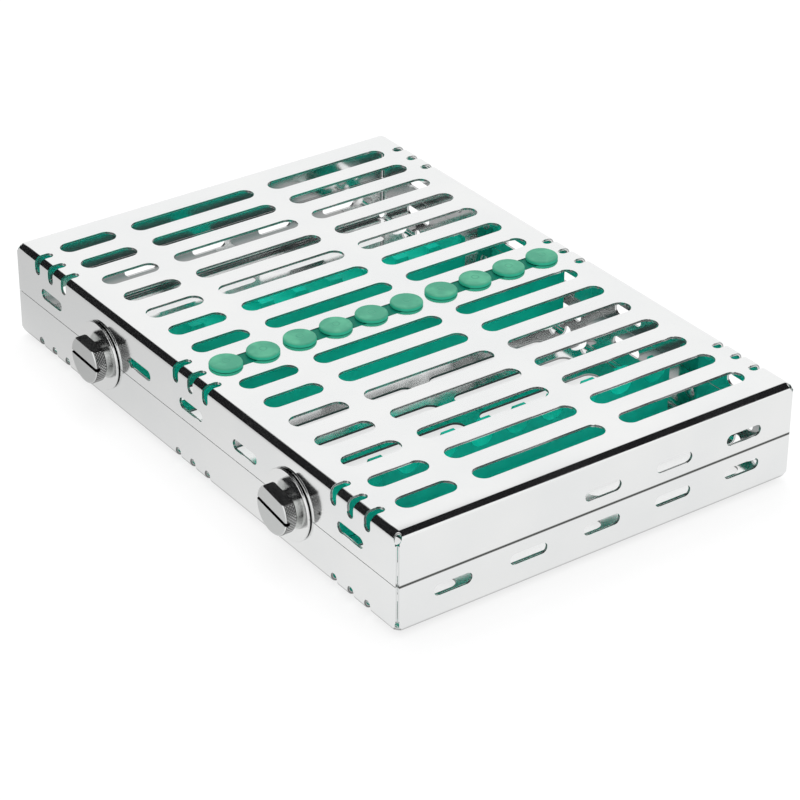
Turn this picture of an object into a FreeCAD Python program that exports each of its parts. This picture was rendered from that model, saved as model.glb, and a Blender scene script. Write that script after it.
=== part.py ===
import FreeCAD, Part
import math
import os
import Sketcher

# Ten-instrument sterilization cassette: two perforated sheet-steel trays hinged at the back,
# three silicone rails and two turn knobs that clamp the front seam.
# X runs along the long side, Y to the back, Z up. The studs under the base rails stand on z = 0.

os.makedirs("parts", exist_ok=True)
doc = FreeCAD.newDocument("instrument_cassette")
sheet = doc.addObject("Spreadsheet::Sheet", "sizes")

DRIVING_SIZES = {
    # both trays closed, over the outside of the sheet
    "length": 208.0,
    "width": 142.0,
    "height": 32.0,
    "seam_height": 15.4,
    "seam_gap": 0.2,
    "sheet_gauge": 0.8,
    "bend_radius": 2.4,
    "corner_setback": 0.9,
    "corner_relief_radius": 1.1,
    # long slots of floor and lid, one column of slots for each group of studs
    "slot_pitch": 13.0,
    "slot_width": 6.5,
    "slot_rows": 15,
    "stud_pitch": 13.0,
    "stud_count": 10,
    "front_column_studs": 2,
    "other_column_studs": 4,
    # slots in the walls
    "side_vent_length": 13.0,
    "long_vent_length": 12.6,
    "vent_width": 3.6,
    "side_vent_pitch": 26.0,
    "near_vent_place": 29.0,
    "far_vent_place": 82.0,
    "lid_vent_drop": 11.0,
    "base_vent_rise": 9.7,
    # short slots that run over the long bends
    "drain_width": 3.0,
    "drain_pitch": 8.1,
    "drain_group_pitch": 82.0,
    "drain_reach_in": 5.6,
    "lid_drain_drop": 5.6,
    "base_drain_rise": 4.0,
    # silicone rails and their studs
    "rail_thickness": 8.5,
    "rail_root_thickness": 10.0,
    "rail_root_height": 2.0,
    "rail_length": 129.0,
    "base_rail_place": 52.0,
    "base_rail_top": 17.5,
    "lid_rail_bottom": 11.0,
    "rail_gap": 0.1,
    "plug_gap": 0.2,
    "plug_recess": 0.2,
    "stud_radius": 5.1,
    "stud_rise": 1.2,
    "stud_edge_radius": 0.7,
    "notch_radius": 4.4,
    "notch_depth": 3.3,
    "grip_slit_width": 1.2,
    "grip_slit_depth": 3.0,
    "grip_mouth_radius": 1.6,
    # turn knobs
    "latch_place": 52.0,
    "knob_radius": 7.5,
    "knob_depth": 3.9,
    "knob_chamfer": 0.4,
    "knob_flat_height": 5.4,
    "knob_neck_radius": 4.5,
    "knob_neck_length": 1.2,
    "driver_slot_width": 1.1,
    "driver_slot_depth": 1.3,
    "clamp_washer_radius": 11.0,
    "clamp_washer_gauge": 0.8,
    "clamp_edge_radius": 0.25,
    "clamp_gap": 0.3,
    "spindle_radius": 2.0,
    "spindle_gap": 0.1,
    "spindle_tip": 0.2,
    "spindle_slot_width": 0.8,
    "spindle_slot_depth": 0.9,
    "thread_depth": 2.4,
    "fit_gap": 0.05,
    "wall_notch_radius": 2.9,
    "left_knob_turn": 2.5,
    "right_knob_turn": 8.6,
    # what carries the knobs inside the front wall
    "bracket_width": 18.0,
    "bracket_gauge": 1.2,
    "bracket_drop": 11.0,
    "bracket_head_radius": 5.6,
    "bush_radius": 3.0,
    "bush_flange_radius": 4.2,
    "bush_flange_gauge": 0.8,
    "thrust_washer_radius": 3.9,
    "thrust_washer_gauge": 0.5,
    "nut_width": 7.0,
    "nut_height": 2.0,
    # hinges
    "hinge_place": 52.0,
    "leaf_width": 24.0,
    "leaf_height": 10.5,
    "leaf_gauge": 1.0,
    "leaf_clearance": 0.4,
    "hinge_standoff": 0.3,
    "pin_radius": 1.5,
    "pin_gap": 0.1,
    "pin_head_radius": 2.2,
    "pin_head_gauge": 0.6,
    "knuckle_count": 5,
    "knuckle_gap": 0.25,
    "rivet_radius": 1.25,
    "rivet_head_radius": 2.2,
    "rivet_head_height": 0.8,
    "rivet_spacing": 15.0,
    "rivet_rise": 7.0,
}


class Size:
    """A number together with the sheet formula that gives it."""

    def __init__(self, value, text):
        self.value = float(value)
        self.text = text

    def __add__(self, other):
        other = as_size(other)
        return Size(self.value + other.value, f"({self.text} + {other.text})")

    def __radd__(self, other):
        return as_size(other) + self

    def __sub__(self, other):
        other = as_size(other)
        return Size(self.value - other.value, f"({self.text} - {other.text})")

    def __rsub__(self, other):
        return as_size(other) - self

    def __mul__(self, other):
        other = as_size(other)
        return Size(self.value * other.value, f"({self.text} * {other.text})")

    def __rmul__(self, other):
        return as_size(other) * self

    def __truediv__(self, other):
        other = as_size(other)
        return Size(self.value / other.value, f"({self.text} / {other.text})")

    def __neg__(self):
        return Size(-self.value, f"(0 - {self.text})")


def as_size(number):
    return number if isinstance(number, Size) else Size(number, repr(number))


class Sizes:
    """Every cell of the sheet as an attribute of the same name."""


s = Sizes()
for row, (name, value) in enumerate(DRIVING_SIZES.items(), start=1):
    sheet.set(f"A{row}", name)
    sheet.set(f"B{row}", str(value))
    sheet.setAlias(f"B{row}", name)
    setattr(s, name, Size(value, f"{sheet.Name}.{name}"))
doc.recompute()

# Places that several pieces share
box_bottom = s.stud_rise + s.rail_gap
box_top = box_bottom + s.height
seam = box_bottom + s.seam_height
lid_edge = seam + s.seam_gap
floor_top = box_bottom + s.sheet_gauge
lid_underside = box_top - s.sheet_gauge
front = -(s.width / 2)
inner_front = front + s.sheet_gauge
back = s.width / 2
first_row = -((s.slot_rows - 1) * s.slot_pitch / 2)
first_stud = -((s.stud_count - 1) * s.stud_pitch / 2)

ALONG_X = FreeCAD.Rotation(FreeCAD.Vector(0, 1, 0), 90)
ALONG_Y = FreeCAD.Rotation(FreeCAD.Vector(1, 0, 0), -90)


def bind(thing, **properties):
    """Tie properties of a document object to sheet formulas."""
    for name, size in properties.items():
        thing.setExpression(name.replace("__", "."), as_size(size).text)


def labelled(thing, label):
    thing.Label = label
    return thing


def new_body(label):
    return labelled(doc.addObject("PartDesign::Body", label), label)


def origin_feature(body, role):
    return next(item for item in body.Origin.OriginFeatures if item.Role == role)


def new_sketch(body, name, plane, offset=0):
    """A sketch on one of the body's own planes, moved along that plane's normal."""
    sketch = body.newObject("Sketcher::SketchObject", name)
    sketch.AttachmentSupport = [(origin_feature(body, plane), "")]
    sketch.MapMode = "FlatFace"
    bind(sketch, AttachmentOffset__Base__z=offset)
    return sketch


def tie_constraint(sketch, number, size):
    sketch.setExpression(f"Constraints[{number}]", size.text)


def pin_coordinate(sketch, kind, geometry, point, place):
    """Hold one coordinate of a point, on the axis where the place is plain 0."""
    if not isinstance(place, Size):
        axis = -2 if kind == "DistanceX" else -1
        sketch.addConstraint(Sketcher.Constraint("PointOnObject", geometry, point, axis))
        return
    distance = Sketcher.Constraint(kind, -1, 1, geometry, point, place.value)
    tie_constraint(sketch, sketch.addConstraint(distance), place)


def pin_point(sketch, geometry, point, x, y):
    pin_coordinate(sketch, "DistanceX", geometry, point, x)
    pin_coordinate(sketch, "DistanceY", geometry, point, y)


def vector_of(x, y, z=0):
    return FreeCAD.Vector(as_size(x).value, as_size(y).value, as_size(z).value)


def draw_polygon(sketch, points):
    corners = [vector_of(x, y) for x, y in points]
    lines = []
    for start, end in zip(corners, corners[1:] + corners[:1]):
        lines.append(sketch.addGeometry(Part.LineSegment(start, end), False))
    for line, following in zip(lines, lines[1:] + lines[:1]):
        sketch.addConstraint(Sketcher.Constraint("Coincident", line, 2, following, 1))
    for line, (x, y) in zip(lines, points):
        pin_point(sketch, line, 1, x, y)


def draw_rectangle(sketch, left, right, low, high):
    draw_polygon(sketch, [(left, low), (right, low), (right, high), (left, high)])


def draw_circle(sketch, x, y, radius):
    circle = Part.Circle(vector_of(x, y), FreeCAD.Vector(0, 0, 1), radius.value)
    geometry = sketch.addGeometry(circle, False)
    pin_point(sketch, geometry, 3, x, y)
    number = sketch.addConstraint(Sketcher.Constraint("Radius", geometry, radius.value))
    tie_constraint(sketch, number, radius)


def draw_round_ended_slot(sketch, first_centre, last_centre, radius):
    """An obround between two centres, the second one further along X or along Y."""
    start = vector_of(*first_centre)
    end = vector_of(*last_centre)
    quarter = math.pi / 2
    turn = 0.0 if end.x - start.x > end.y - start.y else quarter
    normal = FreeCAD.Vector(0, 0, 1)
    first_circle = Part.Circle(start, normal, radius.value)
    last_circle = Part.Circle(end, normal, radius.value)
    first_arc = Part.ArcOfCircle(first_circle, turn + quarter, turn + 3 * quarter)
    last_arc = Part.ArcOfCircle(last_circle, turn - quarter, turn + quarter)
    near_side = Part.LineSegment(first_arc.EndPoint, last_arc.StartPoint)
    far_side = Part.LineSegment(last_arc.EndPoint, first_arc.StartPoint)
    first, last, near, far = sketch.addGeometry([first_arc, last_arc, near_side, far_side], False)
    sketch.addConstraint(Sketcher.Constraint("Tangent", near, 1, first, 2))
    sketch.addConstraint(Sketcher.Constraint("Tangent", near, 2, last, 1))
    sketch.addConstraint(Sketcher.Constraint("Tangent", far, 1, last, 2))
    sketch.addConstraint(Sketcher.Constraint("Tangent", far, 2, first, 1))
    sketch.addConstraint(Sketcher.Constraint("Equal", first, last))
    pin_point(sketch, first, 3, *first_centre)
    pin_point(sketch, last, 3, *last_centre)
    number = sketch.addConstraint(Sketcher.Constraint("Radius", first, radius.value))
    tie_constraint(sketch, number, radius)


def extrude(kind, body, name, sketch, length, reverse=False):
    feature = body.newObject(kind, name)
    feature.Profile = sketch
    feature.Reversed = reverse
    bind(feature, Length=length)
    sketch.Visibility = False
    doc.recompute()
    return feature


def pad(body, name, sketch, length, reverse=False):
    return extrude("PartDesign::Pad", body, name, sketch, length, reverse)


def pocket(body, name, sketch, depth, reverse=False):
    """A pocket against the sketch's normal, or along it where it is reversed."""
    return extrude("PartDesign::Pocket", body, name, sketch, depth, reverse)


def repeat(body, name, features, axis, length, count):
    pattern = body.newObject("PartDesign::LinearPattern", name)
    pattern.Originals = features
    pattern.Direction = (origin_feature(body, axis), [""])
    bind(pattern, Length=length, Occurrences=count)
    body.Tip = pattern
    doc.recompute()
    return pattern


def edges_where(feature, wanted):
    """Names of the edges whose two ends both satisfy a test."""
    names = []
    for number, edge in enumerate(feature.Shape.Edges, start=1):
        if all(wanted(vertex.Point) for vertex in edge.Vertexes):
            names.append(f"Edge{number}")
    return names


def round_edges(body, name, feature, edges, radius):
    fillet = body.newObject("PartDesign::Fillet", name)
    fillet.Base = (feature, edges)
    bind(fillet, Radius=radius)
    doc.recompute()


def near(first, second):
    return abs(first - second) < 1e-4


def stud_columns():
    """First and last stud of each column of slots, from the front to the back."""
    counts = [s.front_column_studs, s.other_column_studs, s.other_column_studs]
    columns = []
    start = first_stud
    for count in counts:
        columns.append((start, start + (count - 1) * s.stud_pitch))
        start = start + count * s.stud_pitch
    return columns


def cut_row_of_slots(body, outside, radius, depth, upward, x):
    sketch = new_sketch(body, "slot_row_outline", "XY_Plane", outside)
    for first, last in stud_columns():
        draw_round_ended_slot(sketch, (x, first), (x, last), radius)
    return pocket(body, "slot_row", sketch, depth, upward)


def cut_wall_slots(body, name, plane, wall_offset, places, height, length, from_inside):
    """Lying slots in one wall, cut towards the middle of the tray."""
    sketch = new_sketch(body, f"{name}_outline", plane, wall_offset)
    half = length / 2 - s.vent_width / 2
    for place in places:
        draw_round_ended_slot(sketch, (place - half, height), (place + half, height), s.vent_width / 2)
    return pocket(body, name, sketch, 2 * s.sheet_gauge, from_inside)


def cut_drain_slots(body, outside, sign, wall_reach, upward):
    """Groups of three short slots that run from the flat over each long bend into the wall."""
    radius = s.drain_width / 2
    beyond = s.bend_radius
    offsets = [-s.drain_pitch, 0 * s.drain_pitch, s.drain_pitch]
    start = -s.drain_group_pitch
    flat = new_sketch(body, "drain_flat_outline", "XY_Plane", outside)
    wall = new_sketch(body, "drain_wall_outline", "XZ_Plane", back)
    reach = s.drain_reach_in - radius
    far_end = outside + sign * (wall_reach - radius)
    over_edge = outside - sign * beyond
    for offset in offsets:
        x = start + offset
        draw_round_ended_slot(flat, (x, front - beyond), (x, front + reach), radius)
        draw_round_ended_slot(flat, (x, back - reach), (x, back + beyond), radius)
        low, high = (over_edge, far_end) if sign > 0 else (far_end, over_edge)
        draw_round_ended_slot(wall, (x, low), (x, high), radius)
    flat_cut = pocket(body, "drain_flat", flat, s.bend_radius, upward)
    front_cut = pocket(body, "drain_wall_front", wall, s.bend_radius)
    back_wall = new_sketch(body, "drain_back_outline", "XZ_Plane", -back)
    for offset in offsets:
        x = start + offset
        low, high = (over_edge, far_end) if sign > 0 else (far_end, over_edge)
        draw_round_ended_slot(back_wall, (x, low), (x, high), radius)
    back_cut = pocket(body, "drain_wall_back", back_wall, s.bend_radius, True)
    cuts = [flat_cut, front_cut, back_cut]
    repeat(body, "drain_groups", cuts, "X_Axis", 2 * s.drain_group_pitch, 3)


def tray(label, outside, open_edge, sign, wall_reach):
    """A sheet tray from its flat outside face to its open edge; sign is +1 where it opens upwards."""
    upward = sign > 0
    wall_height = sign * (open_edge - outside)
    body = new_body(label)
    outline = new_sketch(body, "outline", "XY_Plane", outside)
    draw_rectangle(outline, -(s.length / 2), s.length / 2, front, back)
    block = pad(body, "block", outline, wall_height, not upward)
    outer_edges = edges_where(block, lambda point: near(point.z, outside.value))
    round_edges(body, "outer_bends", block, outer_edges, s.bend_radius)
    inside = outside + sign * s.sheet_gauge
    hollow = new_sketch(body, "hollow_outline", "XY_Plane", inside)
    half_length = s.length / 2 - s.sheet_gauge
    draw_rectangle(hollow, -half_length, half_length, inner_front, -inner_front)
    opened = pocket(body, "hollow", hollow, wall_height, upward)
    inner_edges = edges_where(opened, lambda point: near(point.z, inside.value))
    round_edges(body, "inner_bends", opened, inner_edges, s.bend_radius - s.sheet_gauge)
    cut_corners(body, outside, sign, wall_height, upward)
    row = cut_row_of_slots(body, outside, s.slot_width / 2, 2 * s.sheet_gauge, upward, first_row)
    span = (s.slot_rows - 1) * s.slot_pitch
    repeat(body, "slot_rows", [row], "X_Axis", span, s.slot_rows)
    cut_drain_slots(body, outside, sign, wall_reach, upward)
    notch = new_sketch(body, "spindle_notch_outline", "XZ_Plane", back)
    for x in (-s.latch_place, s.latch_place):
        draw_circle(notch, x, seam, s.wall_notch_radius)
    pocket(body, "spindle_notches", notch, 2 * s.sheet_gauge)
    rivets = new_sketch(body, "rivet_hole_outline", "XZ_Plane", -back)
    for x in rivet_places():
        draw_circle(rivets, x, seam - sign * s.rivet_rise, s.rivet_radius + s.fit_gap)
    pocket(body, "rivet_holes", rivets, 2 * s.sheet_gauge, True)
    return body


def cut_corners(body, outside, sign, wall_height, upward):
    """The open corners of a folded blank: the walls stop short and a round relief ends the bends."""
    slits = new_sketch(body, "corner_slit_outline", "XY_Plane", outside)
    reliefs = new_sketch(body, "corner_relief_outline", "XY_Plane", outside)
    inner_x = s.length / 2 - s.corner_setback
    outer_x = s.length / 2 + s.corner_setback
    inner_y = s.width / 2 - s.corner_setback
    outer_y = s.width / 2 + s.corner_setback
    for left, right in ((-outer_x, -inner_x), (inner_x, outer_x)):
        for low, high in ((-outer_y, -inner_y), (inner_y, outer_y)):
            draw_rectangle(slits, left, right, low, high)
    centre_x = s.length / 2 - s.corner_relief_radius
    centre_y = s.width / 2 - s.corner_relief_radius
    for x in (-centre_x, centre_x):
        for y in (-centre_y, centre_y):
            draw_circle(reliefs, x, y, s.corner_relief_radius)
    pocket(body, "corner_slits", slits, wall_height, upward)
    pocket(body, "corner_reliefs", reliefs, s.bend_radius + s.corner_relief_radius, upward)


def rivet_places():
    places = []
    for hinge in (-s.hinge_place, s.hinge_place):
        places += [hinge - s.rivet_spacing / 2, hinge + s.rivet_spacing / 2]
    return places


def base_tray():
    body = tray("base_tray", box_bottom, seam, 1, s.base_drain_rise)
    height = box_bottom + s.base_vent_rise
    side = [-(2 * s.side_vent_pitch), -s.side_vent_pitch, 0 * s.side_vent_pitch]
    side += [s.side_vent_pitch, 2 * s.side_vent_pitch]
    long_side = [-s.far_vent_place, -s.near_vent_place, 0 * s.near_vent_place]
    long_side += [s.near_vent_place, s.far_vent_place]
    half = s.length / 2
    cut_wall_slots(body, "right_vents", "YZ_Plane", half, side, height, s.side_vent_length, False)
    cut_wall_slots(body, "left_vents", "YZ_Plane", -half, side, height, s.side_vent_length, True)
    cut_wall_slots(body, "back_vents", "XZ_Plane", -back, long_side, height, s.long_vent_length, True)
    return body


def lid_tray():
    body = tray("lid_tray", box_top, lid_edge, -1, s.lid_drain_drop)
    height = box_top - s.lid_vent_drop
    side = [0 * s.side_vent_pitch, s.side_vent_pitch, 2 * s.side_vent_pitch]
    long_side = [-s.far_vent_place, -s.near_vent_place, 0 * s.near_vent_place]
    long_side += [s.near_vent_place, s.far_vent_place]
    half = s.length / 2
    cut_wall_slots(body, "right_vents", "YZ_Plane", half, side, height, s.side_vent_length, False)
    cut_wall_slots(body, "left_vents", "YZ_Plane", -half, side, height, s.side_vent_length, True)
    cut_wall_slots(body, "front_vents", "XZ_Plane", back, long_side, height, s.long_vent_length, False)
    cut_wall_slots(body, "back_vents", "XZ_Plane", -back, long_side, height, s.long_vent_length, True)
    return body


def rail(label, x, root, free_edge, outside, sign):
    """A silicone rail; sign is +1 where it stands up on the floor and -1 where it hangs."""
    body = new_body(label)
    section = new_sketch(body, "section", "XZ_Plane", s.rail_length / 2)
    shoulder = root + sign * s.rail_root_height
    half_root = s.rail_root_thickness / 2
    half_wall = s.rail_thickness / 2
    left_side = [(x - half_wall, free_edge), (x - half_wall, shoulder), (x - half_root, root)]
    right_side = [(x + half_root, root), (x + half_wall, shoulder), (x + half_wall, free_edge)]
    draw_polygon(section, left_side + right_side)
    pad(body, "web", section, s.rail_length, True)
    plug = new_sketch(body, "plug_outline", "XY_Plane", root)
    for first, last in stud_columns():
        draw_round_ended_slot(plug, (x, first), (x, last), s.slot_width / 2 - s.plug_gap)
    plug_height = s.rail_gap + s.sheet_gauge - s.plug_recess
    pad(body, "plugs", plug, plug_height, sign > 0)
    face = outside - sign * s.rail_gap
    neck = new_sketch(body, "stud_neck_outline", "XY_Plane", face)
    draw_circle(neck, x, first_stud, s.slot_width / 2 - s.plug_gap)
    neck_pad = pad(body, "stud_neck", neck, s.rail_gap + s.sheet_gauge, sign < 0)
    stud = new_sketch(body, "stud_outline", "XY_Plane", face)
    draw_circle(stud, x, first_stud, s.stud_radius)
    stud_pad = pad(body, "stud", stud, s.stud_rise, sign > 0)
    span = (s.stud_count - 1) * s.stud_pitch
    studs = repeat(body, "studs", [neck_pad, stud_pad], "Y_Axis", span, s.stud_count)
    stud_top = (face - sign * s.stud_rise).value
    rims = edges_where(studs, lambda point: near(point.z, stud_top))
    round_edges(body, "stud_rims", studs, rims, s.stud_edge_radius)
    return body


def base_rail(label, x):
    """A base rail has a shallow round notch for each instrument."""
    top = box_bottom + s.base_rail_top
    body = rail(label, x, floor_top + s.rail_gap, top, box_bottom, 1)
    notch = new_sketch(body, "notch_outline", "YZ_Plane", x + s.rail_root_thickness / 2)
    draw_circle(notch, first_stud, top + s.notch_radius - s.notch_depth, s.notch_radius)
    cut = pocket(body, "notch", notch, s.rail_root_thickness)
    span = (s.stud_count - 1) * s.stud_pitch
    repeat(body, "notches", [cut], "Y_Axis", span, s.stud_count)
    return body


def lid_rail():
    """The hold-down rail has a narrow slit with a round mouth for each instrument."""
    bottom = box_bottom + s.lid_rail_bottom
    body = rail("lid_rail", 0 * s.slot_pitch, lid_underside - s.rail_gap, bottom, box_top, -1)
    side = s.rail_root_thickness / 2
    slit = new_sketch(body, "slit_outline", "YZ_Plane", side)
    half = s.grip_slit_width / 2
    low = bottom - s.grip_slit_width
    draw_rectangle(slit, first_stud - half, first_stud + half, low, bottom + s.grip_slit_depth)
    slit_cut = pocket(body, "slit", slit, s.rail_root_thickness)
    mouth = new_sketch(body, "mouth_outline", "YZ_Plane", side)
    draw_circle(mouth, first_stud, bottom, s.grip_mouth_radius)
    mouth_cut = pocket(body, "mouth", mouth, s.rail_root_thickness)
    span = (s.stud_count - 1) * s.stud_pitch
    repeat(body, "grip_slits", [slit_cut, mouth_cut], "Y_Axis", span, s.stud_count)
    return body


def place(thing, x, y, z, rotation=None):
    thing.Placement = FreeCAD.Placement(vector_of(x, y, z), rotation or FreeCAD.Rotation())
    bind(thing, Placement__Base__x=x, Placement__Base__y=y, Placement__Base__z=z)
    return thing


def block(name, left, low_y, low_z, width, depth, height):
    box = doc.addObject("Part::Box", name)
    bind(box, Length=width, Width=depth, Height=height)
    return place(box, left, low_y, low_z)


def rod(name, radius, length, x, y, z, rotation):
    cylinder = doc.addObject("Part::Cylinder", name)
    bind(cylinder, Radius=radius, Height=length)
    return place(cylinder, x, y, z, rotation)


def joined(name, pieces):
    fusion = doc.addObject("Part::MultiFuse", name)
    fusion.Shapes = pieces
    fusion.Refine = True
    return fusion


def broken_edges(kind, name, turned, size):
    """A turned solid with a chamfer or a fillet on each of its round edges."""
    doc.recompute()
    broken = doc.addObject(kind, name)
    broken.Base = turned
    edges = []
    for number, edge in enumerate(turned.Shape.Edges, start=1):
        if len(edge.Vertexes) == 1:
            edges.append((number, size.value, size.value))
    broken.Edges = edges
    return broken


def less(name, solid, *tools):
    for number, tool in enumerate(tools):
        cut = doc.addObject("Part::Cut", f"{name}_{number}")
        cut.Base = solid
        cut.Tool = tool
        solid = cut
    return solid


# The knob's pieces are drawn around their own axis, with y = 0 on the wall's outside face.
washer_back = -s.clamp_gap
washer_front = washer_back - s.clamp_washer_gauge
knob_back = washer_front - s.knob_neck_length
knob_front = knob_back - s.knob_depth


def put_at_latch(thing, label, side, turn):
    """Set a piece on the spindle axis of one latch, turned as that knob stands."""
    labelled(thing, label)
    thing.Placement = FreeCAD.Placement(
        vector_of(side * s.latch_place, front, seam), FreeCAD.Rotation(FreeCAD.Vector(0, 1, 0), turn.value)
    )
    bind(thing, Placement__Base__x=side * s.latch_place, Placement__Base__y=front)
    bind(thing, Placement__Base__z=seam, Placement__Rotation__Angle=turn)
    return thing


def knob(label, side, turn):
    """A turned knob: slotted head with one flat, and a neck that presses on the clamp washer."""
    head = rod("knob_head", s.knob_radius, s.knob_depth, 0, knob_front, 0, ALONG_Y)
    rim = broken_edges("Part::Chamfer", "knob_rim", head, s.knob_chamfer)
    neck = rod("knob_neck", s.knob_neck_radius, s.knob_neck_length, 0, knob_back, 0, ALONG_Y)
    turned = joined("knob_turned", [rim, neck])
    reach = 2 * s.knob_radius
    top = s.knob_flat_height
    flat = block("knob_flat", -s.knob_radius, knob_front, top, reach, s.knob_depth, s.knob_radius)
    half = s.driver_slot_width / 2
    depth = s.driver_slot_depth
    slot = block("driver_slot", -s.knob_radius, knob_front, -half, reach, depth, s.driver_slot_width)
    bore_radius = s.spindle_radius + s.fit_gap
    bore_start = washer_front - s.thread_depth
    bore = rod("knob_bore", bore_radius, s.thread_depth, 0, bore_start, 0, ALONG_Y)
    return put_at_latch(less("knob", turned, flat, slot, bore), label, side, turn)


def clamp_washer(label, side, turn):
    disc = rod("clamp_disc", s.clamp_washer_radius, s.clamp_washer_gauge, 0, washer_front, 0, ALONG_Y)
    rim = broken_edges("Part::Fillet", "clamp_rim", disc, s.clamp_edge_radius)
    hole_radius = s.spindle_radius + s.spindle_gap
    hole = rod("clamp_hole", hole_radius, s.clamp_washer_gauge, 0, washer_front, 0, ALONG_Y)
    return put_at_latch(less("clamp_washer", rim, hole), label, side, turn)


# Depths behind the wall's outside face, from the bracket to the tip of the spindle
bracket_front = s.sheet_gauge + s.clamp_gap
bracket_back = bracket_front + s.bracket_gauge
bush_back = bracket_back + s.bush_flange_gauge
thrust_front = bush_back + s.spindle_gap
thrust_back = thrust_front + s.thrust_washer_gauge
nut_back = thrust_back + s.nut_height
spindle_back = nut_back + s.spindle_tip
spindle_front = washer_front - s.thread_depth + s.fit_gap


def spindle(label, side, turn):
    """A stud screwed into the knob, with an assembly slot across its inner tip."""
    length = spindle_back - spindle_front
    shaft = rod("spindle_shaft", s.spindle_radius, length, 0, spindle_front, 0, ALONG_Y)
    depth = s.spindle_slot_depth
    start = spindle_back - depth
    half = s.spindle_slot_width / 2
    reach = 2 * s.spindle_radius
    tip = block("spindle_slot", -s.spindle_radius, start, -half, reach, depth, s.spindle_slot_width)
    return put_at_latch(less("spindle", shaft, tip), label, side, turn)


def thrust_washer(label, side, turn):
    disc = rod("thrust_disc", s.thrust_washer_radius, s.thrust_washer_gauge, 0, thrust_front, 0, ALONG_Y)
    hole_radius = s.spindle_radius + s.fit_gap
    hole = rod("thrust_hole", hole_radius, s.thrust_washer_gauge, 0, thrust_front, 0, ALONG_Y)
    return put_at_latch(less("thrust_washer", disc, hole), label, side, turn)


def lock_nut(label, side, turn):
    prism = doc.addObject("Part::Prism", "nut_prism")
    prism.Polygon = 6
    flats_to_corners = 2 / 3 ** 0.5
    bind(prism, Circumradius=s.nut_width / 2 * flats_to_corners, Height=s.nut_height)
    place(prism, 0, thrust_back, 0, ALONG_Y)
    hole = rod("nut_hole", s.spindle_radius + s.fit_gap, s.nut_height, 0, thrust_back, 0, ALONG_Y)
    return put_at_latch(less("lock_nut", prism, hole), label, side, turn)


def latch_bracket(label, side):
    """A plate welded inside the base wall, set off the lid wall where it stands above the seam."""
    x = side * s.latch_place
    y = front + s.sheet_gauge
    bottom = seam - s.bracket_drop
    half = s.bracket_width / 2
    foot_depth = s.clamp_gap + s.bracket_gauge
    below_seam = s.bracket_drop - s.clamp_gap
    foot = block("bracket_foot", x - half, y, bottom, s.bracket_width, foot_depth, below_seam)
    neck_width = 2 * s.bracket_head_radius
    neck_left = x - s.bracket_head_radius
    plate_y = front + bracket_front
    neck_depth = s.bracket_gauge
    neck = block("bracket_neck", neck_left, plate_y, bottom, neck_width, neck_depth, s.bracket_drop)
    head = rod("bracket_head", s.bracket_head_radius, s.bracket_gauge, x, plate_y, seam, ALONG_Y)
    plate = joined("bracket_plate", [foot, neck, head])
    hole_radius = s.bush_radius + s.fit_gap
    hole = rod("bracket_hole", hole_radius, foot_depth + s.clamp_gap, x, y, seam, ALONG_Y)
    return labelled(less("latch_bracket", plate, hole), label)


def latch_bush(label, side):
    x = side * s.latch_place
    sleeve = rod("bush_sleeve", s.bush_radius, s.bracket_gauge, x, front + bracket_front, seam, ALONG_Y)
    flange_y = front + bracket_back
    flange = rod("bush_flange", s.bush_flange_radius, s.bush_flange_gauge, x, flange_y, seam, ALONG_Y)
    bush = joined("bush_turned", [sleeve, flange])
    bore_radius = s.spindle_radius + s.spindle_gap
    bore_length = s.bracket_gauge + s.bush_flange_gauge
    bore = rod("bush_bore", bore_radius, bore_length, x, front + bracket_front, seam, ALONG_Y)
    return labelled(less("latch_bush", bush, bore), label)


knuckle_radius = s.pin_radius + s.pin_gap + s.leaf_gauge
hinge_axis_y = back + s.hinge_standoff + knuckle_radius


def hinge_leaf(label, side, sign, first_knuckle):
    """A leaf on the back wall, curled round the pin at every other knuckle; sign is -1 below it."""
    left = side * s.hinge_place - s.leaf_width / 2
    start = knuckle_radius + s.leaf_clearance
    plate_height = s.leaf_height - start
    low = seam + start if sign > 0 else seam - s.leaf_height
    pieces = [block("leaf_plate", left, back, low, s.leaf_width, s.leaf_gauge, plate_height)]
    pitch = s.leaf_width / s.knuckle_count
    width = pitch - s.knuckle_gap
    tab_low = seam if sign > 0 else seam - start
    for number in range(first_knuckle, DRIVING_SIZES["knuckle_count"], 2):
        x = left + number * pitch + s.knuckle_gap / 2
        pieces.append(block("leaf_tab", x, back, tab_low, width, s.leaf_gauge, start))
        pieces.append(rod("leaf_knuckle", knuckle_radius, width, x, hinge_axis_y, seam, ALONG_X))
    leaf = joined("leaf_bent", pieces)
    bore_radius = s.pin_radius + s.pin_gap
    bore = rod("leaf_bore", bore_radius, s.leaf_width, left, hinge_axis_y, seam, ALONG_X)
    holes = []
    for offset in (-s.rivet_spacing / 2, s.rivet_spacing / 2):
        x = side * s.hinge_place + offset
        z = seam + sign * s.rivet_rise
        holes.append(rod("leaf_hole", s.rivet_radius + s.fit_gap, s.leaf_gauge, x, back, z, ALONG_Y))
    return labelled(less("hinge_leaf", leaf, bore, *holes), label)


def hinge_pin(label, side):
    left = side * s.hinge_place - s.leaf_width / 2
    shaft = rod("pin_shaft", s.pin_radius, s.leaf_width, left, hinge_axis_y, seam, ALONG_X)
    heads = []
    for x in (left - s.pin_head_gauge, left + s.leaf_width):
        heads.append(rod("pin_head", s.pin_head_radius, s.pin_head_gauge, x, hinge_axis_y, seam, ALONG_X))
    return labelled(joined("hinge_pin", [shaft] + heads), label)


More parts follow.
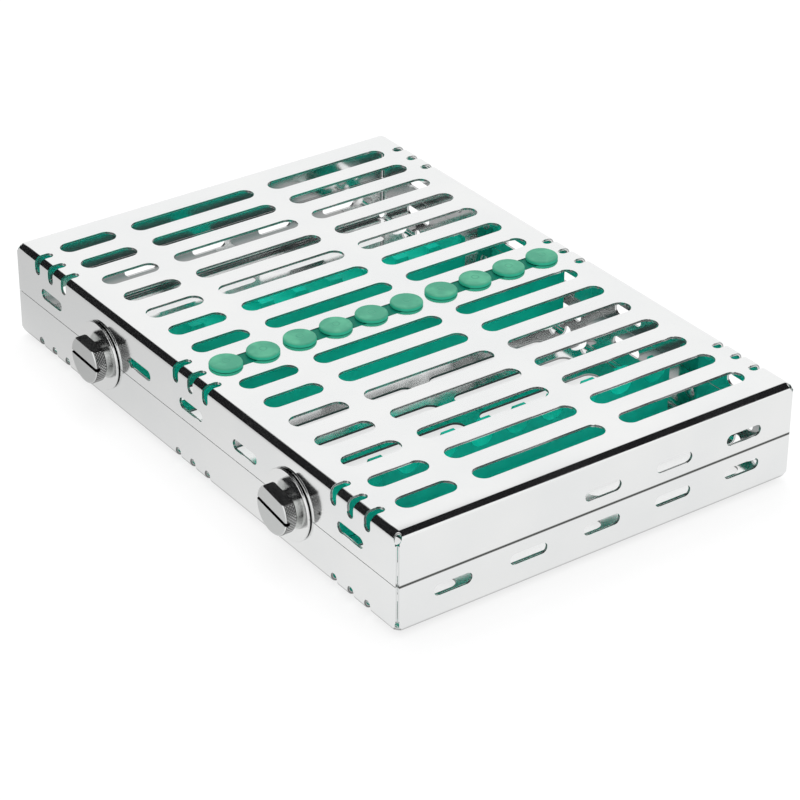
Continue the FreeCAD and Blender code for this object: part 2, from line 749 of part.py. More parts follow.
def domed_head(name, x, face, z, outward):
    """A shallow dome on a face square to Y, outward being +1 where it stands towards the back."""
    radius = s.rivet_head_radius
    height = s.rivet_head_height
    start = face if outward > 0 else face - height
    disc = rod(f"{name}_disc", radius, height, x, start, z, ALONG_Y)
    ball_radius = (radius * radius + height * height) / (2 * height)
    ball = doc.addObject("Part::Sphere", f"{name}_ball")
    bind(ball, Radius=ball_radius)
    place(ball, x, face + outward * (height - ball_radius), z, ALONG_Y)
    dome = doc.addObject("Part::Common", name)
    dome.Base = disc
    dome.Tool = ball
    return dome


def rivets(label, sign):
    """Four rivets through the back wall and the leaves of both hinges, headed on both sides."""
    group = []
    inner_face = back - s.sheet_gauge
    outer_face = back + s.leaf_gauge
    z = seam + sign * s.rivet_rise
    for x in rivet_places():
        shank = rod("rivet_shank", s.rivet_radius, outer_face - inner_face, x, inner_face, z, ALONG_Y)
        tail = domed_head("rivet_tail", x, inner_face, z, -1)
        head = domed_head("rivet_head", x, outer_face, z, 1)
        group.append(joined("rivet", [shank, tail, head]))
    compound = doc.addObject("Part::Compound", label)
    compound.Links = group
    return labelled(compound, label)


pieces = [
    base_tray(),
    lid_tray(),
    base_rail("base_rail_left", -s.base_rail_place),
    base_rail("base_rail_right", s.base_rail_place),
    lid_rail(),
    rivets("hinge_base_rivets", -1),
    rivets("hinge_lid_rivets", 1),
]
for hand, side, turn in (("left", -1, s.left_knob_turn), ("right", 1, s.right_knob_turn)):
    pieces.append(knob(f"knob_{hand}", side, turn))
    pieces.append(clamp_washer(f"clamp_washer_{hand}", side, turn))
    pieces.append(spindle(f"spindle_{hand}", side, turn))
    pieces.append(thrust_washer(f"thrust_washer_{hand}", side, turn))
    pieces.append(lock_nut(f"lock_nut_{hand}", side, turn))
    pieces.append(latch_bracket(f"latch_bracket_{hand}", side))
    pieces.append(latch_bush(f"latch_bush_{hand}", side))
    pieces.append(hinge_leaf(f"hinge_base_leaf_{hand}", side, -1, 0))
    pieces.append(hinge_leaf(f"hinge_lid_leaf_{hand}", side, 1, 1))
    pieces.append(hinge_pin(f"hinge_pin_{hand}", side))
doc.recompute()

for item in doc.Objects:
    if "Invalid" in item.State or "Error" in item.State:
        raise RuntimeError(f"{item.Label} failed: {item.State}")
for piece in pieces:
    if piece.Shape.isNull() or not piece.Shape.isValid():
        raise RuntimeError(f"{piece.Label} has no valid shape")
for piece in pieces:
    piece.Shape.exportStep(f"parts/{piece.Label}.step")
    print(piece.Label, len(piece.Shape.Solids), round(piece.Shape.Volume, 1))
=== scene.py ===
import math

import bpy
from mathutils import Matrix, Vector


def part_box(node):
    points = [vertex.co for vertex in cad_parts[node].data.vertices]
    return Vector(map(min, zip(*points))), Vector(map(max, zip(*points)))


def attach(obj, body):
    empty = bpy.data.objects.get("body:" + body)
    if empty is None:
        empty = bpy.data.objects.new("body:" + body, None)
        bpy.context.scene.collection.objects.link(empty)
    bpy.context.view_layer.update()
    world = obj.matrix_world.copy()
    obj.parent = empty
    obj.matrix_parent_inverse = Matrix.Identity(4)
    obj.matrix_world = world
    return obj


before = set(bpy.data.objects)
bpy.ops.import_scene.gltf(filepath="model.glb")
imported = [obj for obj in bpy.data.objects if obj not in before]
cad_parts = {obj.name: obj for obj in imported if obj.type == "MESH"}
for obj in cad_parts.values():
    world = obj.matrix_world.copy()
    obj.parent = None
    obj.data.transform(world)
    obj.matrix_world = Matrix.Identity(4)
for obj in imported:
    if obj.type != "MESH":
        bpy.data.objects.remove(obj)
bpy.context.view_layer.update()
scene = bpy.context.scene
scene.view_settings.view_transform = "Standard"


# The viewpoint: above the right end of the front, looking back along the lid with a long lens,
# so that the two visible walls close together only slightly towards the rear.
EYE = Vector((0.63132, -0.44812, 0.45666))
EYE_AZIMUTH = math.radians(54.375)
EYE_ELEVATION = math.radians(30.444)
EYE_ROLL = math.radians(0.308)
FILM_WIDTH_MM = 36.0
LENS_MM = 131.03

camera = bpy.data.objects.new("viewpoint", bpy.data.cameras.new("viewpoint"))
camera.data.sensor_width = FILM_WIDTH_MM
camera.data.lens = LENS_MM
camera.matrix_world = (
    Matrix.Translation(EYE)
    @ Matrix.Rotation(EYE_AZIMUTH, 4, "Z")
    @ Matrix.Rotation(math.pi / 2 - EYE_ELEVATION, 4, "X")
    @ Matrix.Rotation(EYE_ROLL, 4, "Z")
)
scene.collection.objects.link(camera)
scene.camera = camera


# The studio: a white table in a white cove, a dark ceiling with a softbox right above, and a black
# flag beyond the front left corner. Polished steel shows all of this: the cove's top edge and the
# flag are what turns the folds of the trays and the flats of the knobs dark.
COVE_WHITE = (1.0, 1.0, 1.0, 1.0)
ROOM_DARK = (0.010, 0.010, 0.011, 1.0)
FILL_LIGHT = (1.25, 1.25, 1.25, 1.0)
COVE_TOP = math.radians(39)
COVE_SOFTNESS = math.radians(4)
RIGHT_DIP = math.radians(9)
RIGHT_DIP_AZIMUTH = math.radians(36)
RIGHT_DIP_SPREAD = (0.64, 0.30)
FAR_DIP = math.radians(20)
FAR_DIP_AZIMUTH = math.radians(58)
FAR_DIP_SPREAD = (0.93, 0.03)
LEFT_DIP = math.radians(12)
LEFT_DIP_AZIMUTH = math.radians(-165)
LEFT_DIP_SPREAD = (0.866, 0.12)
FLAG_AZIMUTH = math.radians(-146)
FLAG_HALF_WIDTH = math.radians(28)
FLAG_SOFTNESS = 0.02
SOFTBOX_EDGE = math.radians(70)
SOFTBOX_SOFTNESS = math.radians(3)
SOFTBOX_LEVEL = 0.80
LAMP_PLACE = Vector((-0.35, 0.25, 0.9))
LAMP_SIZE = 0.6
LAMP_POWER = 3.0
TABLE_SIZE = 4.0
TABLE_MATT_WHITE = (0.86, 0.86, 0.86, 1.0)
TABLE_SHOWN_WHITE = 0.72
TABLE_MIRRORED = 0.90
TABLE_MIRRORED_PLAIN = 0.92
TABLE_GLOW = 0.80
FRONT_LEFT_SHADE = 0.64
FRONT_LEFT_ALONG = (-0.03, 0.16)
FRONT_LEFT_ACROSS = (-0.06, 0.03)
SHADE_UNDER_RIM = 0.45
SHADE_UNDER_RIM_SOFTNESS = 0.002
SHADE_UNDER_MIDDLE = 0.05
SHADE_UNDER_MIDDLE_SOFTNESS = 0.005
RIM_OF_SHADE = 0.018
UNDER_BOX_SHADOW_TINT = (0.50, 0.95, 0.90, 1.0)


class Value:
    """A socket of a node tree. Arithmetic on it adds the Math nodes that it needs."""

    def __init__(self, tree, socket):
        self.tree = tree
        self.socket = socket

    def math(self, operation, *others):
        return self.tree.node(
            "ShaderNodeMath", {"operation": operation}, dict(enumerate((self, *others)))
        )

    def after(self, operation, first):
        return self.tree.node("ShaderNodeMath", {"operation": operation}, {0: first, 1: self})

    def __add__(self, other):
        return self.math("ADD", other)

    __radd__ = __add__

    def __sub__(self, other):
        return self.math("SUBTRACT", other)

    def __rsub__(self, other):
        return self.after("SUBTRACT", other)

    def __mul__(self, other):
        return self.math("MULTIPLY", other)

    __rmul__ = __mul__

    def __truediv__(self, other):
        return self.math("DIVIDE", other)

    def __abs__(self):
        return self.math("ABSOLUTE")

    def least(self, other):
        return self.math("MINIMUM", other)

    def most(self, other):
        return self.math("MAXIMUM", other)

    def above(self, level, softness):
        """0 below the level and 1 above it, with a soft step between."""
        return self.tree.node(
            "ShaderNodeMapRange",
            {"interpolation_type": "SMOOTHSTEP"},
            {"Value": self, "From Min": level - softness, "From Max": level + softness},
        )


class Tree:
    """A node tree, built one node at a time."""

    def __init__(self, node_tree):
        self.nodes = node_tree.nodes
        self.links = node_tree.links
        self.nodes.clear()

    def node(self, kind, settings=None, sockets=None, output=0):
        made = self.nodes.new(kind)
        for name, value in (settings or {}).items():
            setattr(made, name, value)
        for name, value in (sockets or {}).items():
            if isinstance(value, Value):
                self.links.new(value.socket, made.inputs[name])
            else:
                made.inputs[name].default_value = value
        return Value(self, made.outputs[output])

    def several(self, kind, sockets, outputs):
        """A node's outputs by name, where more than one of them is used."""
        first = self.node(kind, None, sockets)
        made = first.socket.node
        return [Value(self, made.outputs[name]) for name in outputs]

    def blend(self, share, first, second):
        """The first colour turning into the second as share goes from 0 to 1."""
        return self.node(
            "ShaderNodeMix", {"data_type": "RGBA"}, {0: share, 6: first, 7: second}, output=2
        )

    def surface(self, kind, shader):
        self.links.new(shader.socket, self.nodes.new(kind).inputs["Surface"])


def toward(x, y, azimuth):
    """How far a direction points to an azimuth: the cosine of the angle between, seen from above."""
    level = (x * x + y * y).math("SQRT")
    return (x * math.cos(azimuth) + y * math.sin(azimuth)) / level.most(1e-4)


world = bpy.data.worlds.new("studio")
scene.world = world
world.use_nodes = True
room = Tree(world.node_tree)
direction = room.node("ShaderNodeTexCoord")
east, north, up = room.several("ShaderNodeSeparateXYZ", {0: direction}, ("X", "Y", "Z"))
height = up.math("ARCSINE")
right_dip = toward(east, north, RIGHT_DIP_AZIMUTH).above(*RIGHT_DIP_SPREAD) * RIGHT_DIP
far_dip = toward(east, north, FAR_DIP_AZIMUTH).above(*FAR_DIP_SPREAD) * FAR_DIP
left_dip = toward(east, north, LEFT_DIP_AZIMUTH).above(*LEFT_DIP_SPREAD) * LEFT_DIP
cove = 1 - (height + right_dip + far_dip + left_dip).above(COVE_TOP, COVE_SOFTNESS)
flag = toward(east, north, FLAG_AZIMUTH).above(math.cos(FLAG_HALF_WIDTH), FLAG_SOFTNESS)
flag = flag * height.above(0.0, FLAG_SOFTNESS)
softbox = height.above(SOFTBOX_EDGE, SOFTBOX_SOFTNESS) * SOFTBOX_LEVEL
seen_room = room.blend((cove * (1 - flag)).most(softbox), ROOM_DARK, COVE_WHITE)
glossy, diffuse_depth, camera_ray, through = room.several(
    "ShaderNodeLightPath",
    {},
    ("Is Glossy Ray", "Diffuse Depth", "Is Camera Ray", "Is Transmission Ray"),
)
mirrored = glossy * (1 - diffuse_depth.least(1.0))
light = room.blend(mirrored, FILL_LIGHT, seen_room)
light = room.blend(camera_ray + through, light, COVE_WHITE)
room.surface("ShaderNodeOutputWorld", room.node("ShaderNodeBackground", None, {"Color": light}))

table = bpy.data.objects.new("table", bpy.data.meshes.new("table"))
half = TABLE_SIZE / 2
table.data.from_pydata(
    [(-half, -half, 0), (half, -half, 0), (half, half, 0), (-half, half, 0)], [], [(0, 1, 2, 3)]
)
scene.collection.objects.link(table)
table_white = bpy.data.materials.new("table_white")
table_white.use_nodes = True
top = Tree(table_white.node_tree)
place = top.node("ShaderNodeTexCoord", output=3)
along, across = top.several("ShaderNodeSeparateXYZ", {0: place}, ("X", "Y"))
# Seen in the steel, the table is painted with shade: darker towards the front left, and a painted
# shadow under the box, darkest towards its middle, where it is tinted teal. Camera rays see the table
# white, and diffuse rays see it glow, lighting the box from below.
shade = (1 - along.above(*FRONT_LEFT_ALONG)) * (1 - across.above(*FRONT_LEFT_ACROSS))
half_length, half_width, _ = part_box("base_tray")[1]
under = 1 - abs(along).above(half_length, SHADE_UNDER_RIM_SOFTNESS)
under = under * (1 - abs(across).above(half_width, SHADE_UNDER_RIM_SOFTNESS))
deep = 1 - abs(along).above(half_length - RIM_OF_SHADE, SHADE_UNDER_MIDDLE_SOFTNESS)
deep = deep * (1 - abs(across).above(half_width - RIM_OF_SHADE, SHADE_UNDER_MIDDLE_SOFTNESS))
shown, glossy, diffuse, through = top.several(
    "ShaderNodeLightPath",
    {},
    ("Is Camera Ray", "Is Glossy Ray", "Is Diffuse Ray", "Is Transmission Ray"),
)
level = TABLE_MIRRORED * (1 - shade * (1 - FRONT_LEFT_SHADE)) * (1 - under * (1 - SHADE_UNDER_RIM))
level = level * (1 - deep * (1 - SHADE_UNDER_MIDDLE / SHADE_UNDER_RIM))
level = level * glossy + diffuse + shown + through
shadow_tint = top.blend(deep * glossy, COVE_WHITE, UNDER_BOX_SHADOW_TINT)
matt = top.node("ShaderNodeBsdfDiffuse", None, {"Color": TABLE_MATT_WHITE})
bright = top.node("ShaderNodeEmission", None, {"Color": shadow_tint, "Strength": level})
share = (shown + through) * TABLE_SHOWN_WHITE + glossy * TABLE_MIRRORED_PLAIN + diffuse * TABLE_GLOW
mixed = top.node("ShaderNodeMixShader", None, {0: share, 1: matt, 2: bright})
top.surface("ShaderNodeOutputMaterial", mixed)
table.data.materials.append(table_white)

# The overhead lamp isn't mirrored in the steel, where the softbox in the ceiling stands for it.
lamp_light = bpy.data.lights.new("overhead_softbox", "AREA")
lamp_light.size = LAMP_SIZE
lamp_light.energy = LAMP_POWER
lamp = bpy.data.objects.new("overhead_softbox", lamp_light)
lamp.location = LAMP_PLACE
lamp.rotation_euler = (-LAMP_PLACE).to_track_quat("-Z", "Y").to_euler()
lamp.visible_glossy = False
scene.collection.objects.link(lamp)


# The two trays: stainless sheet, punched, folded and electropolished to nearly a mirror, with cloudy
# patches and a trace of rolling grain. The slots' cut edges are burnished on their inner half and
# painted dark on their outer half, as painted shade. Folding left a slight sag before the short
# bends, and the end walls are darker along their rims, where lid and base meet.
SHEET_GAUGE = 0.0008
BEND_RADIUS = 0.0024
SAG_REACH = 0.004
SAG_SLOPE = 0.05
TRAY_STEEL = (0.885, 0.89, 0.885, 1.0)
TRAY_STEEL_CLOUDY = (0.855, 0.865, 0.865, 1.0)
PAINTED_SHADE_EDGE_STEEL = (0.30, 0.305, 0.305, 1.0)
BURNISHED_EDGE_STEEL = (0.76, 0.765, 0.76, 1.0)
DARK_END_RIM = (0.20, 0.205, 0.20, 1.0)
DARK_END_RIM_HEIGHT = 0.00032
DARK_END_RIM_BLUR = 0.0001
TRAY_ROUGHNESS = 0.075
TRAY_CLOUDY_ROUGHER = 0.045
TRAY_CLOUD_SCALE = 38.0
GRAIN_SCALE = (60.0, 1500.0, 1500.0)
GRAIN_STRENGTH = 0.05
GRAIN_HEIGHT = 0.00002
CUT_EDGE_ROUGHNESS = 0.36
CUT_STARTS = 0.28
CUT_BURNISHED_FROM = 0.56
CUT_ENDS = 0.84
CUT_BLUR = 0.06


def new_material(name):
    material = bpy.data.materials.new(name)
    material.use_nodes = True
    return material, Tree(material.node_tree)


def depth_in_sheet(tree, node, flat, sign):
    """Depth below a tray's outside skin, flat being the height of its plate and sign its side."""
    _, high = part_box(node)
    place = tree.node("ShaderNodeTexCoord", output=3)
    x, y, z = tree.several("ShaderNodeSeparateXYZ", {0: place}, ("X", "Y", "Z"))
    past_x = (abs(x) - (high[0] - BEND_RADIUS)).most(0.0)
    past_y = (abs(y) - (high[1] - BEND_RADIUS)).most(0.0)
    past_z = (sign * (z - flat) + BEND_RADIUS).most(0.0)
    reach = (past_x * past_x + past_y * past_y + past_z * past_z).math("SQRT")
    return BEND_RADIUS - reach


def tray_steel(node, flat, sign):
    """Steel of a tray whose plate is at the height flat, on the side that sign gives."""
    material, steel = new_material(f"{node}_steel")
    place = steel.node("ShaderNodeTexCoord", output=3)
    clouds = steel.node(
        "ShaderNodeTexNoise", None, {"Vector": place, "Scale": TRAY_CLOUD_SCALE, "Detail": 4.0}
    )
    clouds = clouds.above(0.5, 0.22)
    stretched = steel.node("ShaderNodeMapping", None, {"Vector": place, "Scale": GRAIN_SCALE})
    grain = steel.node("ShaderNodeTexNoise", None, {"Vector": stretched, "Scale": 1.0, "Detail": 2.0})
    depth = depth_in_sheet(steel, node, flat, sign)
    blur = CUT_BLUR * SHEET_GAUGE
    # The outer half of each cut edge is painted dark, as painted shade in the slots; the inner half is
    # burnished.
    cut = depth.above(CUT_STARTS * SHEET_GAUGE, blur)
    cut = cut * (1 - depth.above(CUT_ENDS * SHEET_GAUGE, blur))
    burnished = depth.above(CUT_BURNISHED_FROM * SHEET_GAUGE, blur)
    edge = steel.blend(burnished, PAINTED_SHADE_EDGE_STEEL, BURNISHED_EDGE_STEEL)
    skin = steel.blend(clouds, TRAY_STEEL_CLOUDY, TRAY_STEEL)
    roughness = (1 - clouds) * TRAY_CLOUDY_ROUGHER + TRAY_ROUGHNESS
    roughness = roughness * (1 - cut) + cut * CUT_EDGE_ROUGHNESS
    x, z = steel.several("ShaderNodeSeparateXYZ", {0: place}, ("X", "Z"))
    low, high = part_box(node)
    rim = low[2] if sign > 0 else high[2]
    # The end walls are darker along their rims, where lid and base meet.
    at_rim = 1 - abs(z - rim).above(DARK_END_RIM_HEIGHT, DARK_END_RIM_BLUR)
    at_rim = at_rim * abs(x).above(high[0] - SHEET_GAUGE, 2 * DARK_END_RIM_BLUR)
    skin = steel.blend(at_rim, skin, DARK_END_RIM)
    nearing = (abs(x) - (high[0] - BEND_RADIUS - SAG_REACH)).most(0.0)
    sag = nearing * nearing * (-SAG_SLOPE / (2 * SAG_REACH))
    bump = steel.node(
        "ShaderNodeBump",
        None,
        {"Strength": GRAIN_STRENGTH, "Distance": GRAIN_HEIGHT, "Height": grain},
    )
    bump = steel.node(
        "ShaderNodeBump", None, {"Strength": 1.0, "Distance": 1.0, "Height": sag, "Normal": bump}
    )
    surface = steel.node(
        "ShaderNodeBsdfPrincipled",
        None,
        {
            "Base Color": steel.blend(cut, skin, edge),
            "Metallic": 1.0,
            "Roughness": roughness,
            "Normal": bump,
        },
    )
    steel.surface("ShaderNodeOutputMaterial", surface)
    return material


def dress(node, material):
    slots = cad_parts[node].data.materials
    slots.clear()
    slots.append(material)


dress("lid_tray", tray_steel("lid_tray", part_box("lid_tray")[1][2], 1))
dress("base_tray", tray_steel("base_tray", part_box("base_tray")[0][2], -1))


# The rails: satin teal silicone, moulded in one piece with the studs that hold them in the sheet.
# The mould leaves a fine even texture and a small round gate mark on every stud. The rails are painted
# lighter than the studs that stand out of the sheet, as painted light for the dim inside of the box,
# the silicone within the sheets' slots is painted dark, as painted shade, and the studs' crowns are
# blotchy from use.
SILICONE_PAINTED_LIGHTER = (0.0, 0.65, 0.475, 1.0)
SILICONE_DEEP_PAINTED_LIGHTER = (0.0, 0.575, 0.42, 1.0)
SILICONE_STUD = (0.025, 0.37, 0.23, 1.0)
SILICONE_CROWN = (0.085, 0.34, 0.215, 1.0)
SILICONE_CROWN_WORN = (0.060, 0.27, 0.175, 1.0)
SILICONE_PAINTED_SHADE_IN_SLOT = (0.0, 0.14, 0.09, 1.0)
STUD_EDGE_RADIUS = 0.0007
STUD_PITCH = 0.013
BASE_RAIL_PLACE = 0.052
GATE_MARK_RADIUS = 0.0011
GATE_MARK_WIDTH = 0.00022
GATE_MARK_BLUR = 0.00012
BLOTCH_SCALE = 160.0
SKIN_SCALE = 2600.0
SILICONE_ROUGHNESS = 0.36
BLOTCH_ROUGHER = 0.16
SHEET_EDGE_BLUR = 0.0001


def silicone():
    material, rubber = new_material("teal_silicone")
    place = rubber.node("ShaderNodeTexCoord", output=3)
    x, y, z = rubber.several("ShaderNodeSeparateXYZ", {0: place}, ("X", "Y", "Z"))
    blotches = rubber.node(
        "ShaderNodeTexNoise", None, {"Vector": place, "Scale": BLOTCH_SCALE, "Detail": 4.0}
    )
    skin = rubber.node(
        "ShaderNodeTexNoise", None, {"Vector": place, "Scale": SKIN_SCALE, "Detail": 2.0}
    )
    lid_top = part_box("lid_tray")[1][2]
    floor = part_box("base_tray")[0][2]
    middle = (lid_top + floor) / 2
    past_middle = abs(z - middle)
    # The rails are painted lighter than the studs outside the sheet, as painted light for the dim
    # inside of the box.
    colour = rubber.blend(blotches.above(0.5, 0.25), SILICONE_DEEP_PAINTED_LIGHTER, SILICONE_PAINTED_LIGHTER)
    # The silicone within the sheets' thickness, in their slots between the studs, is painted dark, as
    # painted shade.
    in_slot = past_middle.above(lid_top - middle - SHEET_GAUGE, SHEET_EDGE_BLUR)
    outside = past_middle.above(lid_top - middle + SHEET_EDGE_BLUR, SHEET_EDGE_BLUR)
    stud_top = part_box("lid_rail")[1][2]
    crown = past_middle.above(stud_top - middle - STUD_EDGE_RADIUS / 2, 2 * SHEET_EDGE_BLUR)
    colour = rubber.blend(in_slot, colour, SILICONE_PAINTED_SHADE_IN_SLOT)
    colour = rubber.blend(outside, colour, SILICONE_STUD)
    aside = abs(x).least(abs(abs(x) - BASE_RAIL_PLACE))
    along = abs(y.math("FLOORED_MODULO", STUD_PITCH) - STUD_PITCH / 2)
    from_centre = (aside * aside + along * along).math("SQRT")
    gate = abs(from_centre - GATE_MARK_RADIUS).above(GATE_MARK_WIDTH, GATE_MARK_BLUR)
    worn = blotches.above(0.46, 0.12).most(1 - gate)
    crown_colour = rubber.blend(worn, SILICONE_CROWN, SILICONE_CROWN_WORN)
    bump = rubber.node(
        "ShaderNodeBump", None, {"Strength": 0.25, "Distance": 0.00004, "Height": skin}
    )
    bump = rubber.node(
        "ShaderNodeBump",
        None,
        {"Strength": 0.6, "Distance": 0.0001, "Height": gate * crown, "Normal": bump},
    )
    surface = rubber.node(
        "ShaderNodeBsdfPrincipled",
        None,
        {
            "Base Color": rubber.blend(crown, colour, crown_colour),
            "Roughness": blotches * BLOTCH_ROUGHER + SILICONE_ROUGHNESS,
            "IOR": 1.43,
            "Specular IOR Level": 0.15,
            "Normal": bump,
        },
    )
    rubber.surface("ShaderNodeOutputMaterial", surface)
    return material


teal_silicone = silicone()
for rail in ("lid_rail", "base_rail_left", "base_rail_right"):
    dress(rail, teal_silicone)


# The fittings: plain stainless hinges, rivets, brackets, spindles and nuts, tumbled after they
# were stamped or turned, so they are softer in gloss than the trays and finely speckled.
FITTING_STEEL = (0.74, 0.745, 0.75, 1.0)
FITTING_STEEL_DULL = (0.67, 0.675, 0.68, 1.0)
FITTING_ROUGHNESS = 0.22
SPECK_ROUGHER = 0.08
SPECK_SCALE = 2400.0


def tumbled_steel():
    material, steel = new_material("tumbled_steel")
    place = steel.node("ShaderNodeTexCoord", output=3)
    clouds = steel.node("ShaderNodeTexNoise", None, {"Vector": place, "Scale": 420.0, "Detail": 3.0})
    specks = steel.node("ShaderNodeTexVoronoi", None, {"Vector": place, "Scale": SPECK_SCALE})
    clouds = clouds.above(0.48, 0.2)
    bump = steel.node(
        "ShaderNodeBump", None, {"Strength": 0.06, "Distance": 0.00003, "Height": specks}
    )
    surface = steel.node(
        "ShaderNodeBsdfPrincipled",
        None,
        {
            "Base Color": steel.blend(clouds, FITTING_STEEL_DULL, FITTING_STEEL),
            "Metallic": 1.0,
            "Roughness": specks * SPECK_ROUGHER + FITTING_ROUGHNESS,
            "Normal": bump,
        },
    )
    steel.surface("ShaderNodeOutputMaterial", surface)
    return material


fitting_steel = tumbled_steel()
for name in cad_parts:
    if name.startswith(("hinge", "latch", "spindle", "thrust", "lock")):
        dress(name, fitting_steel)


# The turn knobs and the washers behind them: turned stainless, with fine tool rings round each
# axis. A knob's face is dull, its rim is knurled, and its flat and its coin slot are milled; the coin
# slot and the rim between the knurls are painted dark, as painted shade.
# The washers are polished like the trays that they clamp.
KNOB_STEEL = (0.80, 0.81, 0.80, 1.0)
KNOB_STEEL_DULL = (0.70, 0.71, 0.705, 1.0)
KNOB_FACE_STEEL = (0.60, 0.61, 0.605, 1.0)
WASHER_STEEL = (0.87, 0.875, 0.87, 1.0)
KNURL_VALLEY_PAINTED_SHADE = (0.13, 0.13, 0.13, 1.0)
DRIVER_SLOT_PAINTED_SHADE = (0.03, 0.03, 0.03, 1.0)
DRIVER_SLOT_SHADE_MARGIN = 0.00007
DRIVER_SLOT_WIDTH = 0.0011
DRIVER_SLOT_DEPTH = 0.0013
KNOB_RADIUS = 0.0075
KNOB_DEPTH = 0.0039
KNOB_CHAMFER = 0.0004
KNOB_FLAT_HEIGHT = 0.0054
KNOB_TURN = {"left": math.radians(2.5), "right": math.radians(8.6)}
KNOB_ROUGHNESS = 0.09
KNOB_CLOUD_ROUGHER = 0.10
KNOB_FACE_ROUGHER = 0.18
KNOB_MASK_MARGIN = 0.0001
FACE_SKIN = 0.00008
KNURL_COLUMNS = 48
KNURL_HEIGHT = 0.00030
RING_PITCH = 0.00022
RING_STRENGTH = 0.30
RING_DEPTH = 0.000006


def latch_axis(hand):
    low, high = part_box(f"clamp_washer_{hand}")
    return (low[0] + high[0]) / 2, (low[2] + high[2]) / 2


def turned_steel(hand, turn):
    """Steel with tool rings, dull on the knob's face, with painted shade in its slot and between the
    knurls.
    """
    material, steel = new_material(f"turned_steel_{hand}")
    axis_x, axis_z = latch_axis(hand)
    place = steel.node("ShaderNodeTexCoord", output=3)
    x, y, z = steel.several("ShaderNodeSeparateXYZ", {0: place}, ("X", "Y", "Z"))
    right = x - axis_x
    rise = z - axis_z
    from_axis = (right * right + rise * rise).math("SQRT")
    off_slot = abs(right * math.sin(turn) + rise * math.cos(turn))
    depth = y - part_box(f"knob_{hand}")[0][1]
    head = 1 - depth.above(KNOB_DEPTH + KNOB_MASK_MARGIN, KNOB_MASK_MARGIN)
    face = 1 - depth.above(FACE_SKIN, FACE_SKIN / 2)
    # The coin slot, with a thin margin of the face round it, is painted near black, as painted shade.
    slot = 1 - off_slot.above(DRIVER_SLOT_WIDTH / 2 + DRIVER_SLOT_SHADE_MARGIN, 0.00003)
    slot = slot * (1 - depth.above(DRIVER_SLOT_DEPTH + KNOB_MASK_MARGIN, KNOB_MASK_MARGIN / 2))
    # The knob's rim between the knurled teeth is painted dark, as painted shade.
    valley_shade = from_axis.above(KNOB_RADIUS - 0.00004, 0.00002) * head
    valley_shade = valley_shade * (1 - from_axis.above(KNOB_RADIUS + FACE_SKIN, 0.00006))
    rings = (from_axis * (math.tau / RING_PITCH)).math("SINE")
    clouds = steel.node("ShaderNodeTexNoise", None, {"Vector": place, "Scale": 300.0, "Detail": 3.0})
    colour = steel.blend(clouds.above(0.5, 0.2), KNOB_STEEL_DULL, KNOB_STEEL)
    colour = steel.blend(head, WASHER_STEEL, colour)
    colour = steel.blend(face, colour, KNOB_FACE_STEEL)
    colour = steel.blend(valley_shade, colour, KNURL_VALLEY_PAINTED_SHADE)
    bump = steel.node(
        "ShaderNodeBump", None, {"Strength": RING_STRENGTH, "Distance": RING_DEPTH, "Height": rings}
    )
    surface = steel.node(
        "ShaderNodeBsdfPrincipled",
        None,
        {
            "Base Color": steel.blend(slot, colour, DRIVER_SLOT_PAINTED_SHADE),
            "Metallic": 1.0,
            "Roughness": clouds * KNOB_CLOUD_ROUGHER + face * KNOB_FACE_ROUGHER + KNOB_ROUGHNESS,
            "Normal": bump,
        },
    )
    steel.surface("ShaderNodeOutputMaterial", surface)
    return material


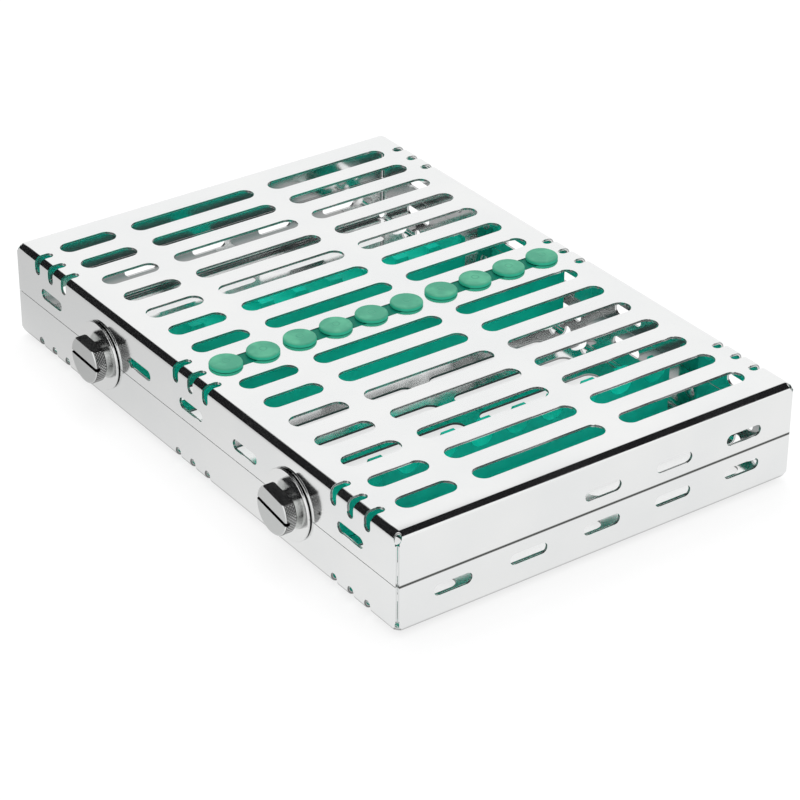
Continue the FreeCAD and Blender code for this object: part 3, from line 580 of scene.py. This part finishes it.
def knurl_group():
    """Rows of four-sided points round an axis along Y, each row half a step on from the last."""
    group = bpy.data.node_groups.new("knurl", "GeometryNodeTree")
    for name, kind in (
        ("Columns", "NodeSocketInt"),
        ("Rows", "NodeSocketInt"),
        ("Radius", "NodeSocketFloat"),
        ("Pitch", "NodeSocketFloat"),
        ("Height", "NodeSocketFloat"),
        ("Slot Rows", "NodeSocketInt"),
        ("Slot Half Width", "NodeSocketFloat"),
        ("First Angle", "NodeSocketFloat"),
        ("Angle Step", "NodeSocketFloat"),
        ("Material", "NodeSocketMaterial"),
    ):
        group.interface.new_socket(name, in_out="INPUT", socket_type=kind)
    group.interface.new_socket("Geometry", in_out="OUTPUT", socket_type="NodeSocketGeometry")
    tree = Tree(group)
    columns, rows, radius, pitch, height = tree.several(
        "NodeGroupInput", {}, ("Columns", "Rows", "Radius", "Pitch", "Height")
    )
    slot_rows, slot_half, first, step, material = tree.several(
        "NodeGroupInput", {}, ("Slot Rows", "Slot Half Width", "First Angle", "Angle Step", "Material")
    )
    points = tree.node("GeometryNodeMeshLine", None, {"Count": columns * rows, "Offset": (0, 0, 0)})
    index = tree.node("GeometryNodeInputIndex")
    row = (index / columns).math("FLOOR")
    column = index - row * columns
    angle = first + step * (column + row.math("MODULO", 2.0) * 0.5)
    up = radius * angle.math("COSINE")
    spot = tree.node(
        "ShaderNodeCombineXYZ", None, {"X": radius * angle.math("SINE"), "Y": row * pitch, "Z": up}
    )
    points = tree.node("GeometryNodeSetPosition", None, {"Geometry": points, "Position": spot})
    over_slot = row.math("LESS_THAN", slot_rows) * abs(up).math("LESS_THAN", slot_half)
    tooth = tree.node(
        "GeometryNodeMeshCone",
        {"fill_type": "NONE"},
        {"Vertices": 4, "Radius Top": 0.0, "Radius Bottom": pitch, "Depth": height},
    )
    lean = tree.node("ShaderNodeCombineXYZ", None, {"Y": angle})
    teeth = tree.node(
        "GeometryNodeInstanceOnPoints",
        None,
        {"Points": points, "Selection": 1 - over_slot, "Instance": tooth, "Rotation": lean},
    )
    teeth = tree.node("GeometryNodeRealizeInstances", None, {"Geometry": teeth})
    teeth = tree.node("GeometryNodeSetMaterial", None, {"Geometry": teeth, "Material": material})
    tree.links.new(teeth.socket, tree.nodes.new("NodeGroupOutput").inputs["Geometry"])
    return group


def grown(name, group, values):
    """A plain mesh object from a geometry node group and the values of its inputs."""
    seed = bpy.data.objects.new(name, bpy.data.meshes.new(name))
    scene.collection.objects.link(seed)
    modifier = seed.modifiers.new("grow", "NODES")
    modifier.node_group = group
    for item in group.interface.items_tree:
        if item.item_type == "SOCKET" and item.in_out == "INPUT":
            modifier[item.identifier] = values[item.name]
    evaluated = seed.evaluated_get(bpy.context.evaluated_depsgraph_get())
    mesh = bpy.data.meshes.new_from_object(evaluated)
    seed.modifiers.clear()
    seed.data = mesh
    return seed


knurl = knurl_group()
flat_angle = math.acos(KNOB_FLAT_HEIGHT / KNOB_RADIUS)
step = math.tau / KNURL_COLUMNS
pitch = KNOB_RADIUS * step / 2
rows = int((KNOB_DEPTH - 2 * KNOB_CHAMFER) / pitch)
first_angle = flat_angle + step / 2
columns = int((math.tau - 2 * first_angle) / step)
first_row = (KNOB_DEPTH - (rows - 1) * pitch) / 2
slot_rows = math.ceil((DRIVER_SLOT_DEPTH - first_row) / pitch)
for hand, turn in KNOB_TURN.items():
    steel = turned_steel(hand, turn)
    dress(f"knob_{hand}", steel)
    dress(f"clamp_washer_{hand}", steel)
    axis_x, axis_z = latch_axis(hand)
    knob_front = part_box(f"knob_{hand}")[0][1]
    rim = grown(
        f"knurled_rim_{hand}",
        knurl,
        {
            "Columns": columns,
            "Rows": rows,
            "Radius": KNOB_RADIUS - KNURL_HEIGHT / 4,
            "Pitch": pitch,
            "Height": KNURL_HEIGHT,
            "Slot Rows": slot_rows,
            "Slot Half Width": DRIVER_SLOT_WIDTH / 2 + pitch / 2,
            "First Angle": first_angle,
            "Angle Step": step,
            "Material": steel,
        },
    )
    rim.data.transform(
        Matrix.Translation((axis_x, knob_front + first_row, axis_z)) @ Matrix.Rotation(turn, 4, "Y")
    )
    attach(rim, f"knob_{hand}")
